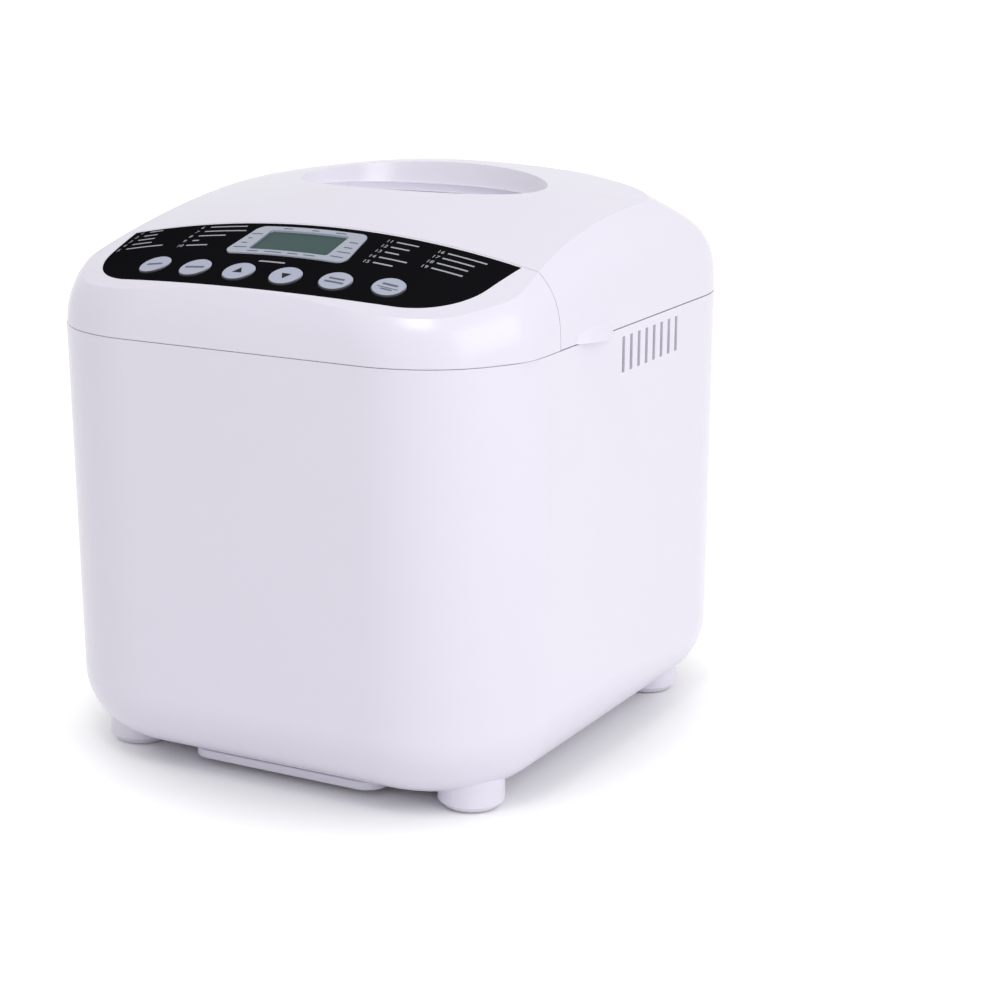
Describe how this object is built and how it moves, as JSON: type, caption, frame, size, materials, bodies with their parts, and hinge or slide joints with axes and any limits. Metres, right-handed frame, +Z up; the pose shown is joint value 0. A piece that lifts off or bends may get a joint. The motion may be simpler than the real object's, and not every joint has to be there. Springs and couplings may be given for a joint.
{
  "type": "bread machine",
  "caption": "Free-standing domestic bread machine: moulded white body, rear-hinged crowned lid with oval window, sloping key panel, lift-out pan with bail handle and belt-driven paddle.",
  "frame": {"origin": "middle of the footprint, on the floor plane under the foot pads", "axes": "+Z up, -Y is the front with the key panel, +X is the right-hand side seen from the front"},
  "size_m": [0.277, 0.312, 0.2888],
  "materials": {
    "white_shell": "moulded white plastic with a slight lavender cast, satin gloss",
    "panel_black": "smooth black overlay",
    "bezel_silver": "silver lavender moulding",
    "display_clear": "clear display cover",
    "display_green": "green-grey display glass",
    "button_white": "smooth light keys",
    "window_clear": "heat-proof pane",
    "seal_grey": "soft heat-proof rubber",
    "pad_rubber": "dark rubber",
    "liner_steel": "pressed sheet",
    "deck_plastic": "pale grey moulding",
    "oven_sheet": "pressed bright sheet",
    "heater_steel": "dull grey tube",
    "ceramic": "insulating ceramic",
    "sensor_steel": "bright probe",
    "pan_coat": "dark non-stick coating",
    "pan_alloy": "cast alloy",
    "handle_wire": "plated wire",
    "shaft_steel": "ground steel",
    "bush_brass": "plain bearing",
    "pulley_black": "filled plastic",
    "belt_rubber": "flat belt",
    "motor_can": "painted can",
    "part_grey": "dark plastic",
    "board_green": "circuit board",
    "chassis_steel": "zinc-coated sheet"
  },
  "bodies": {
    "base": {"outer_housing": "white_shell", "control_fascia": "white_shell", "control_panel": "panel_black", "display_bezel": "bezel_silver", "display_lens": "display_clear", "lcd_module": "display_green", "control_board": "board_green", "tact_switches": "part_grey", "hinge_pins": "handle_wire", "top_deck": "deck_plastic", "oven_chamber": "oven_sheet", "temperature_sensor": "sensor_steel", "heating_element": "heater_steel", "element_bushings": "ceramic", "element_clips": "oven_sheet", "pan_socket": "oven_sheet", "bearing_block": "pan_alloy", "drive_bush": "bush_brass", "motor": "motor_can", "drive_belt": "belt_rubber", "motor_capacitor": "part_grey", "power_board": "board_green", "chassis": "chassis_steel", "base_plate": "deck_plastic", "feet": "white_shell", "foot_pads": "pad_rubber", "cord_gland": "part_grey"},
    "lid": {"lid_shell": "white_shell", "lid_liner": "liner_steel", "lid_seal": "seal_grey", "window_glass": "window_clear", "window_gasket": "seal_grey"},
    "pan": {"bread_pan": "pan_coat", "pan_base_ring": "pan_alloy", "pan_bush": "bush_brass"},
    "handle": {"pan_handle": "handle_wire"},
    "paddle": {"pan_shaft": "shaft_steel", "shaft_wing": "pan_alloy", "kneading_paddle": "pan_coat"},
    "drive": {"drive_shaft": "shaft_steel", "drive_coupling": "pan_alloy", "large_pulley": "pulley_black"},
    "rotor": {"motor_shaft": "shaft_steel", "small_pulley": "pulley_black"},
    "menu_key": {"menu_button": "button_white"},
    "weight_key": {"weight_button": "button_white"},
    "up_key": {"up_button": "button_white"},
    "down_key": {"down_button": "button_white"},
    "colour_key": {"colour_button": "button_white"},
    "start_key": {"start_button": "button_white"}
  },
  "joints": [
    {"name": "lid_hinge", "type": "hinge", "parent": "base", "child": "lid", "pos_m": [0, 0.153, 0.2275], "axis": [-1, 0, 0], "range_deg": [0, 75]},
    {"name": "pan_lift", "type": "slide", "parent": "base", "child": "pan", "axis": [0, 0, 1], "range_m": [0, 0.05]},
    {"name": "handle_swing", "type": "hinge", "parent": "pan", "child": "handle", "pos_m": [0, 0.038, 0.193], "axis": [1, 0, 0], "range_deg": [0, 150]},
    {"name": "drive_spin", "type": "hinge", "parent": "base", "child": "drive", "pos_m": [0, 0.038, 0.034], "axis": [0, 0, 1], "continuous": true},
    {"name": "paddle_spin", "type": "hinge", "parent": "pan", "child": "paddle", "pos_m": [0, 0.038, 0.075], "axis": [0, 0, 1], "continuous": true},
    {"name": "motor_spin", "type": "hinge", "parent": "base", "child": "rotor", "pos_m": [0, -0.105, 0.034], "axis": [0, 0, 1], "continuous": true},
    {"name": "menu_press", "type": "slide", "parent": "base", "child": "menu_key", "axis": [0.1202, 0.3244, -0.9383], "range_m": [0, 0.0006], "stiffness_N_per_m": 800, "springref_m": -0.001},
    {"name": "weight_press", "type": "slide", "parent": "base", "child": "weight_key", "axis": [0.0721, 0.3319, -0.9405], "range_m": [0, 0.0006], "stiffness_N_per_m": 800, "springref_m": -0.001},
    {"name": "up_press", "type": "slide", "parent": "base", "child": "up_key", "axis": [0.024, 0.3357, -0.9417], "range_m": [0, 0.0006], "stiffness_N_per_m": 800, "springref_m": -0.001},
    {"name": "down_press", "type": "slide", "parent": "base", "child": "down_key", "axis": [-0.024, 0.3357, -0.9417], "range_m": [0, 0.0006], "stiffness_N_per_m": 800, "springref_m": -0.001},
    {"name": "colour_press", "type": "slide", "parent": "base", "child": "colour_key", "axis": [-0.0721, 0.3319, -0.9405], "range_m": [0, 0.0006], "stiffness_N_per_m": 800, "springref_m": -0.001},
    {"name": "start_press", "type": "slide", "parent": "base", "child": "start_key", "axis": [-0.1202, 0.3244, -0.9383], "range_m": [0, 0.0006], "stiffness_N_per_m": 800, "springref_m": -0.001}
  ],
  "couplings": [
    {"joint": "paddle_spin", "follows": "drive_spin", "ratio": 1},
    {"joint": "motor_spin", "follows": "drive_spin", "ratio": 4.5455}
  ]
}
